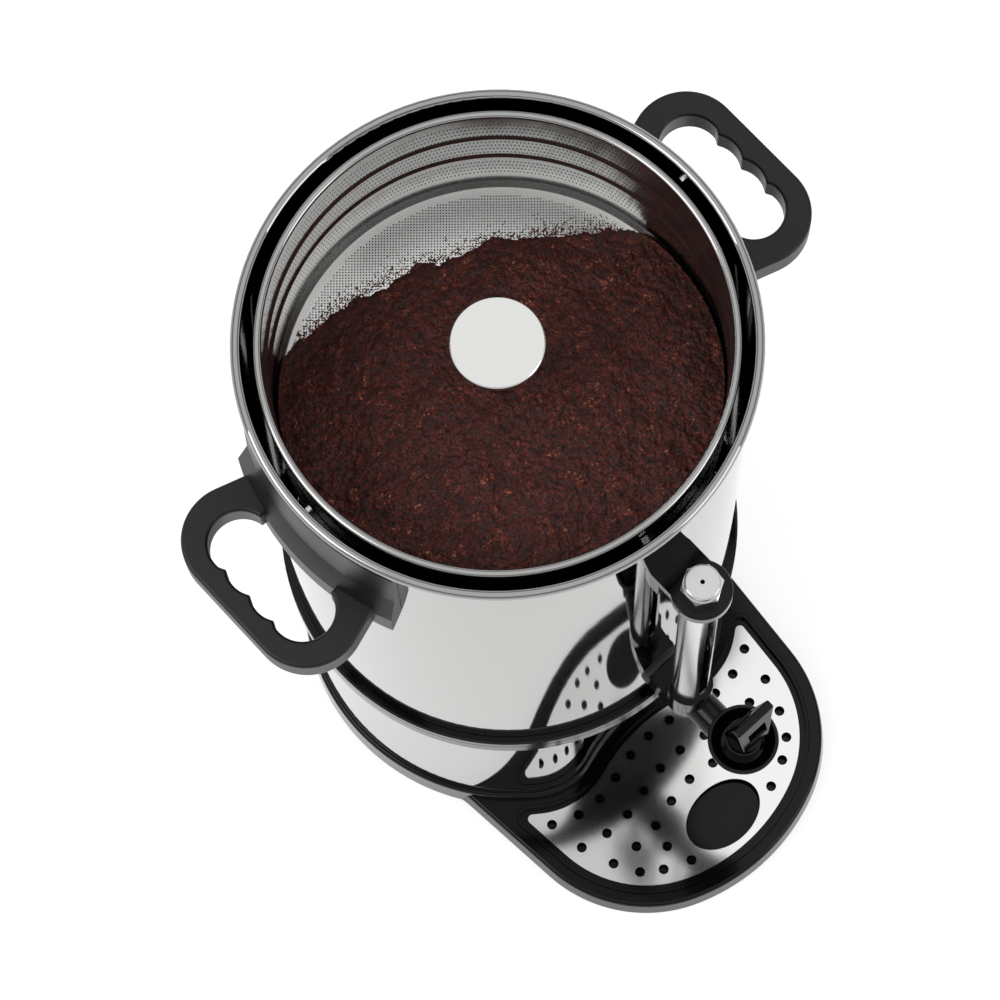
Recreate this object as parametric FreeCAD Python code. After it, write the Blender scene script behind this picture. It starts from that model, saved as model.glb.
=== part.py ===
import FreeCAD, Part
import math
import os

# Coffee urn with a basket of ground coffee, a level gauge, a tap and a drip tray.
# Millimetres, +Z up. The urn's axis is Z, the tap is towards -Y, the two carrying
# handles lie along X, and z = 0 is the surface that the rubber feet stand on.

# Vertical stack
foot_height = 2.0
base_height = 23.5
housing_rise = 154.5
band_height = 20.0
floor_above_band = 8.0
tank_depth = 349.0
base_top = foot_height + base_height
band_bottom = base_top + housing_rise
band_top = band_bottom + band_height
floor_level = band_top + floor_above_band
rim_level = floor_level + tank_depth

# Tank
tank_radius = 132.8
sheet = 0.8
curl_radius = 2.75
curl_sweep = 300.0
floor_corner = 5.0
well_radius = 34.0
well_slope = 4.0
well_depth = 5.0
well_gap = 5.0
tank_inside = tank_radius - sheet
lock_pin_radius = 1.8
lock_pin_reach = 2.8
lock_pin_drop = 3.0

# Lower housing, with a hollow front where the cups stand
recess_radius = 130.0
recess_depth = 25.8
recess_corner = 40.0
housing_groove = 5.5
groove_gap = 0.15

# Support band between housing and tank
band_proud = 4.6
band_gap = 0.2
band_edge = 1.3
band_web = 2.0
band_web_reach = 11.8
band_ceiling = 4.5
band_line = 0.5
band_line_drop = 7.0

# Base moulding and its tray
base_proud = 2.7
base_draft = 0.9
base_edge = 2.5
tray_height = 14.5
tray_foot_inset = 0.4
tray_draft = 1.9
tray_past_tap = 35.5
tray_front_radius = 134.0
tray_corner_radius = 92.0
tray_front_half_angle = 22.0
tray_side_lean = 5.2
neck_radius = 30.0
well_inset = 10.0
well_setback = 6.5
well_tip = 8.0
tray_floor = 2.5
base_wall_inset = 12.0
base_skirt_inset = 14.0
base_flange_inset = 34.0
base_flange_rise = 4.5
base_flange = 3.0
foot_radius = 7.0
front_foot_radius = 11.0
foot_seat = 1.0
foot_edge = 0.5
foot_angles = (50.0, 130.0, 195.0, 345.0)
foot_inset = 5.3
front_foot_x = 72.0
front_foot_back = 24.5

# Bottom cover
cover_inset = 25.0
cover_sheet = 1.2
cover_screw_inset = 29.0
cover_screw_radius = 2.0
cover_screw_head = 2.2
cover_screw_angles = (0.0, 60.0, 120.0, 180.0, 215.0, 325.0)
vent_count = 5
vent_pitch = 10.0
vent_width = 3.0
vent_half_length = 22.0

# Drip pan and drip plate
pan_gap = 0.4
pan_wall = 1.8
pan_lip = 0.6
pan_floor = 1.6
pan_step = 6.0
plate_inset = 16.2
plate_setback = 12.0
plate_tip = 3.0
plate_sheet = 1.0
plate_level = 13.5
drain_hole_radius = 3.2
drain_front_inset = 26.0
drain_front_x = (35.0, 52.0)
drain_oval_x = 27.0
drain_oval_y = 19.0
drain_oval_ahead = 4.0
pan_sag = 0.3

# Carrying handles
handle_drop = 57.0
handle_thickness = 19.0
handle_reach = 58.1
handle_corner = 30.0
handle_half_width = 56.8
handle_flare = 18.0
handle_edge = 2.0
handle_root = 6.0
grip_end_reach = 28.7
grip_end_y = 24.5
grip_end_radius = 17.0
grip_neck = 27.0
finger_pitch = 18.7
finger_radius = 15.8
finger_reach = 46.6
finger_ridge = 1.5
pad_half_angle = 24.5
pad_top_drop = 5.0
pad_bottom_drop = 81.0
pad_slope_drop = 43.0
pad_step_drop = 60.0
pad_depth = 11.7
pad_mid_depth = 5.3
pad_top_depth = 4.2
pad_gap = 0.2
bracket_sheet = 1.5
bracket_half_angle = 14.0
bracket_top_drop = 27.0
bracket_tab_reach = 8.7
bracket_tab_drop = 69.0
pocket_gap = 0.3
pocket_angle_gap = 1.0
handle_screw_angle = 8.0
handle_screw_reach = 5.7
handle_screw_radius = 2.5
handle_screw_head = 4.5
handle_screw_sink = 3.5
handle_screw_recess = 0.5
handle_screw_edge = 0.8

# Level gauge
gauge_out = 22.9
outlet_rise = 29.0
outlet_half_width = 12.5
outlet_top = 11.0
outlet_bottom = 10.0
waterway_radius = 4.5
nipple_radius = 9.8
nipple_gap = 0.2
gasket_radius = 14.0
gasket_thickness = 2.0
nut_across_flats = 27.0
nut_thickness = 8.0
nut_seat = 1.6
socket_radius = 13.5
socket_top = 26.0
socket_seat = 18.0
seal_pocket = 7.0
glass_radius = 7.0
glass_wall = 1.5
guard_radius = 10.75
guard_wall = 1.0
guard_fit = 0.05
guard_slot = 6.5
guard_slot_margin = 9.0
gauge_bracket_drop = 70.0
gauge_bracket_thickness = 8.0
gauge_bracket_radius = 16.5
gauge_bracket_half_width = 14.0
gauge_collar = 6.0
gauge_foot = 5.2
gauge_foot_height = 26.0
gauge_nut_flats = 20.5
gauge_nut_height = 10.0
gauge_cap_radius = 9.7
gauge_cap_height = 6.0
gauge_vent_radius = 1.25
glass_gap = 0.4
bracket_screw_radius = 2.5
bracket_screw_head = 4.5
bracket_screw_head_height = 2.6
bracket_screw_drop = 17.0

# Tap
tap_out = 44.8
tap_radius = 12.5
tap_bottom = 15.0
tap_top = 13.0
spout_radius = 9.0
spout_bore = 5.5
spout_drop = 30.0
plug_radius = 8.0
plug_play = 0.05
plug_bore = 5.0
plug_port = 4.0
plug_lift = 0.3
stem_radius = 4.5
inlet_boss_radius = 12.0
inlet_boss_reach = 14.5
spigot_radius = 5.9
spigot_length = 4.0
pipe_radius = 10.0
bonnet_radius = 20.5
bonnet_rise = 12.0
bonnet_lip = 2.0
bonnet_skirt = 7.0
bonnet_wall = 2.0
bonnet_hub_radius = 10.5
bonnet_hub_rise = 4.0
stem_seal_height = 2.5
stem_seal_radius = 7.5
lever_gap = 0.3
lever_hub_radius = 10.0
lever_hub_height = 7.0
lever_height = 33.0
lever_back = 8.0
lever_front = 20.0
lever_ridge = 5.0
lever_root = 17.0
lever_root_front = 12.0
lever_edge = 1.2

# Brewing riser and basket
riser_radius = 6.5
riser_wall = 0.8
riser_top_drop = 22.0
bell_flare = 2.0
riser_end_gap = 1.5
bell_notch_height = 2.0
bell_height = 20.0
bell_gap = 0.3
bell_wall = 0.8
bell_rim = 4.0
bell_notch = 8.0
neck_rise = 13.0
neck_wall = 1.5
valve_chamber = 9.0
valve_seat_hole = 5.0
valve_seat = 1.5
valve_disc_radius = 7.6
valve_disc = 1.0
valve_gap = 0.3
valve_lift = 2.5
collar_radius = 12.0
collar_wall = 2.0
collar_lip = 3.0
collar_height = 12.0
collar_gap = 0.3
basket_gap = 10.0
basket_sheet = 0.6
basket_depth = 97.0
basket_curl_radius = 2.2
basket_curl_sweep = 290.0
basket_ledge = 8.4
basket_corner = 3.0
bead_drops = (28.0, 55.0)
bead_height = 3.0
bead_depth = 1.2
strainer_gap = 0.4
centre_flange = 5.0
centre_flange_sheet = 1.0
centre_tube_radius = 9.0
centre_tube_wall = 0.8
centre_tube_drop = 9.0
spreader_radius = 24.8
spreader_drop = 3.0
spreader_sheet = 1.0
spreader_skirt = 4.0
spigot_gap = 0.4
spreader_spigot_wall = 0.7
spreader_spigot = 12.0
spreader_seat = 0.3
spreader_shoulder = 3.0
spreader_edge = 0.6

# Ground coffee, a heap that leans against the front of the basket
heap_height = 54.0
heap_edge_radius = 243.6
heap_edge_reach = 83.3
heap_direction = 66.2
heap_gap = 0.4

# Heating and controls inside the housing
heater_radius = 32.0
heater_thickness = 5.0
heater_groove_radius = 22.0
element_radius = 3.6
element_gap = 0.2
element_opening = 30.0
element_leg = 14.0
element_pin = 9.0
warmer_radius = 78.0
warmer_tube = 3.5
sensor_radius = 9.0
sensor_height = 9.0
sensor_circle = 54.0
sensor_rim = 2.0
sensor_rim_sheet = 1.0
sensor_tab = 0.8
sensor_tab_length = 8.0
sensor_tab_pitch = 8.0
sensor_tab_width = 6.0
thermostat_angle = 20.0
cutout_angle = 160.0
stud_radius = 2.5
stud_inset = 19.3
stud_angles = (35.0, 145.0, 215.0, 325.0)
nut_flats = 8.0
nut_height = 4.0
terminal_length = 46.0
terminal_width = 22.0
terminal_height = 18.0
terminal_y = 46.0
terminal_hole = 2.5
terminal_hole_depth = 4.0
terminal_poles = 4
inlet_width = 48.0
inlet_height = 30.0
inlet_face = 3.4
inlet_level = 62.0
inlet_body_width = 29.0
inlet_body_height = 22.0
inlet_body_depth = 24.0
inlet_hole_width = 24.5
inlet_hole_height = 16.5
inlet_hole_depth = 16.5
inlet_gap = 0.2
inlet_pin_length = 12.0
inlet_pin_pitch = 7.0
control_angle = -25.0
rocker_level = 92.0
rocker_frame_width = 21.0
rocker_frame_height = 30.0
rocker_frame_face = 2.2
rocker_body_width = 17.6
rocker_body_height = 26.0
rocker_body_depth = 18.0
rocker_opening_width = 13.0
rocker_opening_height = 21.6
rocker_opening_depth = 12.0
rocker_gap = 0.4
rocker_length = 20.0
rocker_proud = 2.6
rocker_tilt = 8.0
rocker_pin_radius = 1.5
rocker_pin_gap = 0.05
rocker_pin_end = 1.4
rocker_axis_depth = 3.0
lamp_levels = (124.0, 142.0)
lamp_radius = 5.0
lamp_flange = 6.5
lamp_flange_face = 1.6
lamp_depth = 16.0
lamp_gap = 0.15

# Places that follow from the sizes
band_radius = tank_radius + band_proud
base_radius = tank_radius + base_proud
foot_circle = tank_radius - foot_inset
stud_circle = tank_radius - stud_inset
basket_radius = tank_inside - basket_gap
bell_radius = well_radius - well_gap - bell_flare
handle_end_x = tank_radius + handle_reach
grip_end_x = tank_radius + grip_end_reach
finger_depth_x = tank_radius + finger_reach
tray_top = foot_height + tray_height
gauge_y = -(tank_radius + gauge_out)
tap_y = gauge_y - tap_out
tray_front_y = tap_y - tray_past_tap
front_foot_y = tap_y + front_foot_back
outlet_level = floor_level + outlet_rise
basket_bottom = rim_level - basket_depth
handle_top = rim_level - handle_drop
bracket_top_level = rim_level - gauge_bracket_drop
bracket_bottom_level = bracket_top_level - gauge_bracket_thickness
flange_bottom = foot_height + base_flange_rise
flange_top = flange_bottom + base_flange
well_floor = foot_height + tray_floor
bonnet_rim_level = outlet_level + tap_top + bonnet_rise
hub_level = bonnet_rim_level + bonnet_hub_rise
lever_bottom = hub_level + lever_gap
lever_top = lever_bottom + lever_height
spout_bottom = outlet_level - spout_drop
valve_floor = floor_level - well_depth + bell_gap + bell_height - neck_wall
margin = 1.0


def vec(x, y, z=0.0):
    return FreeCAD.Vector(x, y, z)


up = vec(0, 0, 1)
axis_origin = vec(0, 0, 0)


def polar(radius, degrees, z=0.0):
    angle = math.radians(degrees)
    return vec(radius * math.cos(angle), radius * math.sin(angle), z)


def arc(start, middle, end):
    return Part.Arc(start, middle, end).toShape()


def line(start, end):
    return Part.makeLine(start, end)


def mirrored(point):
    return vec(-point.x, point.y, point.z)


def rod(radius, low, high, x=0.0, y=0.0):
    return Part.makeCylinder(radius, high - low, vec(x, y, low), up)


def tube(outside, inside, low, high, x=0.0, y=0.0):
    return rod(outside, low, high, x, y).cut(rod(inside, low - margin, high + margin, x, y))


def rod_along(radius, start, end):
    reach = end - start
    return Part.makeCylinder(radius, reach.Length, start, reach)


def block(x0, x1, y0, y1, z0, z1):
    return Part.makeBox(x1 - x0, y1 - y0, z1 - z0, vec(x0, y0, z0))


def turned(points, degrees=360.0, start=0.0, x=0.0, y=0.0):
    # a closed outline of (radius, height) corners turned round a vertical axis
    corners = [vec(radius, 0, height) for radius, height in points]
    wire = Part.makePolygon(corners + corners[:1])
    solid = Part.Face(wire).revolve(axis_origin, up, degrees)
    solid.rotate(axis_origin, up, start)
    solid.translate(vec(x, y, 0))
    return solid


def turned_edges(edges):
    return Part.Face(Part.Wire(edges)).revolve(axis_origin, up, 360)


def prism(wire, height):
    return Part.Face(wire).extrude(vec(0, 0, height))


def hexagon(across_flats, low, high, x=0.0, y=0.0):
    corner = across_flats / math.sqrt(3)
    points = [vec(x, y, low) + polar(corner, 60 * k + 30) for k in range(7)]
    return Part.Face(Part.makePolygon(points)).extrude(vec(0, 0, high - low))


def laid_along_y(solid, y):
    # lays a vertical piece down so that its height runs towards -Y from y
    solid.rotate(axis_origin, vec(1, 0, 0), 90)
    solid.translate(vec(0, y, 0))
    return solid


def facing(solid, degrees):
    # turns a piece built towards +X about the urn's axis
    solid.rotate(axis_origin, up, degrees)
    return solid


def joined(first, *others):
    whole = first
    for other in others:
        whole = whole.fuse(other)
    return whole.removeSplitter()


def group(solids):
    return Part.makeCompound(solids)


def edges_at(solid, height, slack=0.01):
    return [e for e in solid.Edges
            if abs(e.BoundBox.ZMin - height) < slack and abs(e.BoundBox.ZMax - height) < slack]


def wall_curve(thickness_face, low, high):
    # everything inside the tank's outer wall, grown by thickness_face
    return rod(tank_radius + thickness_face, low, high)


def housing_wire(offset, z=0.0):
    # circle of the housing with the hollow front, moved outwards by offset
    shell = tank_radius + offset
    corner = recess_corner + offset
    hollow = recess_radius - offset
    recess_centre = vec(0, -(tank_radius - recess_depth + recess_radius), z)
    apart = abs(recess_centre.y)
    near = tank_radius - recess_corner
    far = recess_radius + recess_corner
    corner_y = (far * far - near * near - apart * apart) / (2 * apart)
    corner_x = math.sqrt(near * near - corner_y * corner_y)
    corner_centre = vec(corner_x, corner_y, z)
    to_shell = vec(corner_x, corner_y) / near
    to_recess = (recess_centre - corner_centre) / far
    half_way = (to_shell + to_recess).normalize()
    a = corner_centre + to_shell * corner
    b = corner_centre + to_recess * corner
    m = corner_centre + half_way * corner
    back = vec(0, shell, z)
    front = recess_centre + vec(0, hollow)
    return Part.Wire([arc(a, back, mirrored(a)), arc(mirrored(a), mirrored(m), mirrored(b)),
                      arc(mirrored(b), front, b), arc(b, m, a)])


def base_wire(offset, z=0.0):
    # outline of the base: the tray's bowed front, round corners, leaning sides and
    # hollow necks that run into the circle under the housing
    half = math.radians(tray_front_half_angle)
    lean = math.radians(tray_side_lean)
    front_turn = vec(math.sin(half), -math.cos(half))
    side_out = vec(math.cos(lean), -math.sin(lean))
    side_along = vec(math.sin(lean), math.cos(lean))
    front_centre = vec(0, tray_front_y + tray_front_radius, z)
    corner_centre = front_centre + front_turn * (tray_front_radius - tray_corner_radius)
    side_reach = side_out.dot(vec(corner_centre.x, corner_centre.y)) + tray_corner_radius
    neck_out = side_reach + neck_radius
    neck_far = base_radius + neck_radius
    neck_along = -math.sqrt(neck_far * neck_far - neck_out * neck_out)
    neck_centre = side_out * neck_out + side_along * neck_along + vec(0, 0, z)
    to_ring = vec(-neck_centre.x, -neck_centre.y) / neck_far
    corner = tray_corner_radius + offset
    neck = neck_radius - offset
    a = front_centre + front_turn * (tray_front_radius + offset)
    b = corner_centre + side_out * corner
    c = neck_centre - side_out * neck
    d = neck_centre + to_ring * neck
    ab = corner_centre + (front_turn + side_out).normalize() * corner
    cd = neck_centre + (to_ring - side_out).normalize() * neck
    front = vec(0, tray_front_y - offset, z)
    back = vec(0, base_radius + offset, z)
    left = [arc(mirrored(p), mirrored(q), mirrored(r)) for p, q, r in ((b, ab, a), (d, cd, c))]
    return Part.Wire([arc(mirrored(a), front, a), arc(a, ab, b), line(b, c), arc(c, cd, d),
                      arc(d, back, mirrored(d)), left[1], line(mirrored(c), mirrored(b)), left[0]])


def tray_prism(inset, setback, tip, low, high):
    # upright block over the tray, inset from its outline and kept off the housing,
    # with its two pointed back corners rounded
    face = Part.Face(base_wire(-inset, low)).cut(Part.Face(housing_wire(setback, low)))
    solid = face.Faces[0].extrude(vec(0, 0, high - low))
    upright = [e for e in solid.Edges if e.BoundBox.ZLength > 0.5 * (high - low)]
    furthest = max(e.CenterOfMass.y for e in upright)
    tips = [e for e in upright if e.CenterOfMass.y > furthest - 0.01]
    return solid.makeFillet(tip, tips)


def ring_foot_places():
    return [polar(foot_circle, degrees) for degrees in foot_angles]


def front_foot_places():
    return [vec(front_foot_x * side, front_foot_y) for side in (-1, 1)]


def cover_screw_places():
    return [polar(tank_radius - cover_screw_inset, degrees) for degrees in cover_screw_angles]


def base_block():
    # solid outline of the base under the housing, with drafted sides and a round top edge
    outline = housing_wire(base_proud + base_draft, foot_height)
    body = Part.makeLoft([outline, housing_wire(base_proud, base_top)], True, True)
    return body.makeFillet(base_edge, edges_at(body, base_top))


def base_moulding():
    body = base_block()
    body = body.cut(prism(housing_wire(-base_wall_inset, flange_top), base_height))
    body = body.cut(prism(housing_wire(-base_flange_inset, 0), base_height))
    body = body.cut(prism(housing_wire(-base_skirt_inset, 0), flange_bottom))
    groove = prism(housing_wire(groove_gap, base_top - housing_groove), base_height)
    core = prism(housing_wire(-sheet - groove_gap, base_top - housing_groove), base_height)
    body = body.cut(groove.cut(core))
    for place in ring_foot_places():
        body = body.cut(rod(foot_radius, 0, foot_height + foot_seat, place.x, place.y))
    for place in cover_screw_places():
        body = body.cut(rod(cover_screw_radius, 0, base_top, place.x, place.y))
    for degrees in stud_angles:
        place = polar(stud_circle, degrees)
        body = body.cut(rod(stud_radius, 0, base_top, place.x, place.y))
    return body


def tray_moulding():
    # border of the drip tray, open in the middle, that starts at the base under the housing
    outline = base_wire(-tray_foot_inset, foot_height)
    top_outline = base_wire(-tray_foot_inset - tray_draft, tray_top)
    body = Part.makeLoft([outline, top_outline], True, True)
    body = body.makeFillet(base_edge, edges_at(body, tray_top))
    body = body.cut(base_block())
    body = body.cut(tray_prism(well_inset, well_setback, well_tip, 0, tray_top + margin))
    return max(body.Solids, key=lambda solid: solid.Volume)


def tray_floor():
    floor = tray_prism(well_inset, well_setback, well_tip, foot_height, well_floor)
    for place in front_foot_places():
        floor = floor.cut(rod(front_foot_radius, 0, foot_height + foot_seat, place.x, place.y))
    return floor


def rubber_feet():
    places = [(place, foot_radius) for place in ring_foot_places()]
    places += [(place, front_foot_radius) for place in front_foot_places()]
    feet = []
    for place, radius in places:
        foot = rod(radius, 0, foot_height + foot_seat, place.x, place.y)
        feet.append(foot.makeFillet(foot_edge, edges_at(foot, 0)))
    return group(feet)


def bottom_cover():
    low = flange_bottom - cover_sheet
    plate = prism(housing_wire(-cover_inset, low), cover_sheet)
    for place in cover_screw_places():
        plate = plate.cut(rod(cover_screw_radius, 0, base_top, place.x, place.y))
    for k in range(vent_count):
        y = vent_pitch * (k - (vent_count - 1) / 2)
        slot = block(-vent_half_length, vent_half_length, y - vent_width / 2, y + vent_width / 2, 0, base_top)
        plate = plate.cut(slot)
    return plate


def bottom_screws():
    low = flange_bottom - cover_sheet
    screws = []
    for place in cover_screw_places():
        head = rod(2 * cover_screw_radius, low - cover_screw_head, low, place.x, place.y)
        head = head.makeFillet(cover_screw_head / 2, edges_at(head, low - cover_screw_head))
        shank = rod(cover_screw_radius, low, flange_top, place.x, place.y)
        screws.append(head.fuse(shank).removeSplitter())
    return group(screws)


def housing_skirt():
    low = base_top - housing_groove
    high = band_bottom + band_ceiling
    skirt = prism(housing_wire(0, low), high - low).cut(prism(housing_wire(-sheet, low), high - low))
    inlet = block(-inlet_body_width / 2 - inlet_gap, inlet_body_width / 2 + inlet_gap, 0, tank_radius + margin,
                  inlet_level - inlet_body_height / 2 - inlet_gap,
                  inlet_level + inlet_body_height / 2 + inlet_gap)
    skirt = skirt.cut(inlet)
    rocker = block(0, tank_radius + margin, -rocker_body_width / 2 - inlet_gap, rocker_body_width / 2 + inlet_gap,
                   rocker_level - rocker_body_height / 2 - inlet_gap,
                   rocker_level + rocker_body_height / 2 + inlet_gap)
    skirt = skirt.cut(facing(rocker, control_angle))
    for level in lamp_levels:
        hole = rod_along(lamp_radius + lamp_gap, vec(0, 0, level), vec(tank_radius + margin, 0, level))
        skirt = skirt.cut(facing(hole, control_angle))
    return skirt


def support_band():
    inside = tank_radius + band_gap
    line_level = band_top - band_line_drop
    outline = [(inside, band_bottom), (band_radius - band_edge, band_bottom),
               (band_radius, band_bottom + band_edge), (band_radius, line_level - band_line),
               (band_radius - band_line, line_level), (band_radius, line_level + band_line),
               (band_radius, band_top - band_edge), (band_radius - band_edge, band_top), (inside, band_top)]
    ring = turned(outline)
    shelf_low = band_bottom + band_ceiling
    web = tube(inside + margin / 2, tank_radius - band_web_reach, shelf_low, shelf_low + band_web)
    ceiling = rod(inside + margin / 2, band_bottom, shelf_low).cut(
        prism(housing_wire(groove_gap, band_bottom - margin), band_ceiling + 2 * margin))
    return joined(ring, web, ceiling)


def curl_edges(start_radius, centre_radius, level, outer, sweep, thickness):
    # edges of an outward curl that starts on top of a wall whose inner face is at start_radius
    inner = outer - thickness
    centre = vec(centre_radius, 0, level)

    def at(radius, degrees):
        angle = math.radians(degrees)
        return centre + vec(radius * math.cos(angle), 0, radius * math.sin(angle))

    last = 180 - sweep
    middle = 180 - sweep / 2
    start = vec(start_radius, 0, level)
    return [arc(start, at(outer, middle), at(outer, last)), line(at(outer, last), at(inner, last)),
            arc(at(inner, last), at(inner, middle), vec(start_radius + thickness, 0, level))]


def tank():
    # rolled wall with its curled rim
    foot = band_bottom + band_ceiling + band_web
    edges = [line(vec(tank_inside, 0, rim_level), vec(tank_inside, 0, foot)),
             line(vec(tank_inside, 0, foot), vec(tank_radius, 0, foot)),
             line(vec(tank_radius, 0, foot), vec(tank_radius, 0, rim_level))]
    edges += curl_edges(tank_inside, tank_inside + curl_radius, rim_level, curl_radius, curl_sweep, sheet)
    shell = turned_edges(Part.__sortEdges__(edges))
    outside = vec(0, -tank_radius - margin, 0)
    within = vec(0, -tank_inside + nut_thickness, 0)
    hole = rod_along(nipple_radius + nipple_gap, outside + up * outlet_level, within + up * outlet_level)
    screw_level = bracket_top_level - bracket_screw_drop
    screw_hole = rod_along(bracket_screw_radius, outside + up * screw_level, within + up * screw_level)
    return shell.cut(hole).cut(screw_hole)


def tank_floor():
    # pressed floor with a turned-up edge, stepped down round the well's plate
    under = floor_level - sheet
    well_top = floor_level - well_depth
    well_under = under - well_depth
    bend = floor_corner * (1 - math.sqrt(0.5))
    flat_end = tank_inside - floor_corner
    slope_end = well_radius + well_slope
    points = [vec(flat_end, 0, floor_level), vec(slope_end, 0, floor_level), vec(well_radius, 0, well_top),
              vec(well_radius, 0, well_under), vec(well_radius + sheet, 0, well_under),
              vec(slope_end + sheet, 0, under), vec(flat_end, 0, under), vec(tank_inside, 0, under - sheet),
              vec(tank_inside, 0, floor_level + floor_corner)]
    edges = [line(a, b) for a, b in zip(points, points[1:])]
    edges.append(arc(points[-1], vec(tank_inside - bend, 0, floor_level + bend), points[0]))
    return turned_edges(edges)


def well_plate():
    # flat disc brazed into the floor over the heater
    high = floor_level - well_depth
    return rod(well_radius, high - sheet, high)


def lid_lock_pins():
    pins = []
    for side in (-1, 1):
        level = rim_level - lock_pin_drop
        pin = rod_along(lock_pin_radius, vec(side * (tank_inside - lock_pin_reach), 0, level),
                        vec(side * tank_radius, 0, level))
        pins.append(pin.common(wall_curve(-sheet, level - 2 * lock_pin_radius, level + 2 * lock_pin_radius)))
    return group(pins)


def circles_meet(first, first_radius, second, second_radius):
    # crossing point of two circles in a level plane that lies further along +X
    between = second - first
    apart = between.Length
    along = (apart * apart + first_radius ** 2 - second_radius ** 2) / (2 * apart)
    across = math.sqrt(first_radius ** 2 - along ** 2)
    unit = between / apart
    side = vec(unit.y, -unit.x) * across
    return first + unit * along + side


def grip_wire(z):
    # hole for the hand: round ends, four finger hollows outside, narrowing at the pad
    finger_x = finger_depth_x - finger_radius
    fingers = [vec(finger_x, finger_pitch * (1.5 - k), z) for k in range(4)]
    top_end = vec(grip_end_x, grip_end_y, z)
    low_end = vec(grip_end_x, -grip_end_y, z)
    cusp_x = finger_x + math.sqrt(finger_radius ** 2 - (finger_pitch / 2) ** 2)
    cusps = [vec(cusp_x, finger_pitch * (1 - k), z) for k in range(3)]
    start = top_end + polar(grip_end_radius, 170)
    finish = low_end + polar(grip_end_radius, -170)
    top_join = circles_meet(top_end, grip_end_radius, fingers[0], finger_radius)
    low_join = vec(top_join.x, -top_join.y, z)
    back = tank_radius + margin
    edges = [line(vec(back, grip_neck, z), start), arc(start, top_end + polar(grip_end_radius, 100), top_join)]
    stops = [top_join] + cusps + [low_join]
    for k in range(4):
        middle_angle = (math.degrees(math.atan2(stops[k].y - fingers[k].y, stops[k].x - fingers[k].x))
                        + math.degrees(math.atan2(stops[k + 1].y - fingers[k].y,
                                                  stops[k + 1].x - fingers[k].x))) / 2
        edges.append(arc(stops[k], fingers[k] + polar(finger_radius, middle_angle), stops[k + 1]))
    edges += [arc(low_join, low_end + polar(grip_end_radius, -100), finish),
              line(finish, vec(back, -grip_neck, z)), line(vec(back, -grip_neck, z), vec(back, grip_neck, z))]
    return Part.Wire(edges)


def handle_wire(z):
    # outer outline of the loop, from the pad round the outside and back
    corner_x = handle_end_x - handle_corner
    corner_y = handle_half_width - handle_corner
    flare = 90 + handle_flare
    top = vec(corner_x, corner_y, z)
    low = vec(corner_x, -corner_y, z)
    start = top + polar(handle_corner, flare)
    finish = low + polar(handle_corner, -flare)
    back = tank_radius - handle_root
    root_y = start.y - (start.x - back) * math.tan(math.radians(handle_flare))
    half = flare / 2
    return Part.Wire([line(vec(back, root_y, z), start),
                      arc(start, top + polar(handle_corner, half), top + polar(handle_corner, 0)),
                      line(top + polar(handle_corner, 0), low + polar(handle_corner, 0)),
                      arc(low + polar(handle_corner, 0), low + polar(handle_corner, -half), finish),
                      line(finish, vec(back, -root_y, z)),
                      line(vec(back, -root_y, z), vec(back, root_y, z))])


def handle():
    low = handle_top - handle_thickness
    face = Part.Face(handle_wire(low)).cut(Part.Face(grip_wire(low)))
    loop = face.extrude(vec(0, 0, handle_thickness))
    loop = max(loop.Solids, key=lambda s: s.Volume)
    ridges = [e for e in loop.Edges if e.BoundBox.ZLength > 0.5 * handle_thickness
              and grip_end_x < e.CenterOfMass.x < finger_depth_x]
    loop = loop.makeFillet(finger_ridge, ridges)
    edges = [e for height in (low, handle_top) for e in edges_at(loop, height)
             if e.BoundBox.XMax > tank_radius + pad_mid_depth + handle_edge]
    loop = loop.makeFillet(handle_edge, edges)
    inside = tank_radius + pad_gap
    bottom = rim_level - pad_bottom_drop
    pad = turned([(inside, bottom), (inside + pad_depth, bottom), (inside + pad_depth, rim_level - pad_step_drop),
                  (inside + pad_mid_depth, rim_level - pad_slope_drop),
                  (inside + pad_top_depth, rim_level - pad_top_drop), (inside, rim_level - pad_top_drop)],
                 2 * pad_half_angle, -pad_half_angle)
    whole = loop.cut(rod(inside, low - margin, handle_top + margin)).fuse(pad).removeSplitter()
    whole = whole.cut(bracket_pocket())
    for side in (-1, 1):
        place = polar(tank_radius + handle_screw_reach, side * handle_screw_angle)
        seat = bottom + handle_screw_sink
        whole = whole.cut(rod(handle_screw_radius, bottom - margin, handle_top, place.x, place.y))
        whole = whole.cut(rod(handle_screw_head + pocket_gap, bottom - margin, seat, place.x, place.y))
    return whole


def bracket_pocket():
    # room in the back of the pad for the bracket on the tank
    inside = tank_radius - margin
    top = rim_level - bracket_top_drop
    tab = rim_level - bracket_tab_drop
    half = bracket_half_angle + pocket_angle_gap
    strip_face = tank_radius + bracket_sheet + pocket_gap
    shelf_face = tank_radius + bracket_tab_reach + pocket_gap
    ceiling = tab + 4 * bracket_sheet
    strip = turned([(inside, tab), (strip_face, tab), (strip_face, top + pocket_gap), (inside, top + pocket_gap)],
                   2 * half, -half)
    shelf = turned([(inside, tab), (shelf_face, tab), (shelf_face, ceiling), (inside, ceiling)], 2 * half, -half)
    return strip.fuse(shelf)


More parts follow.
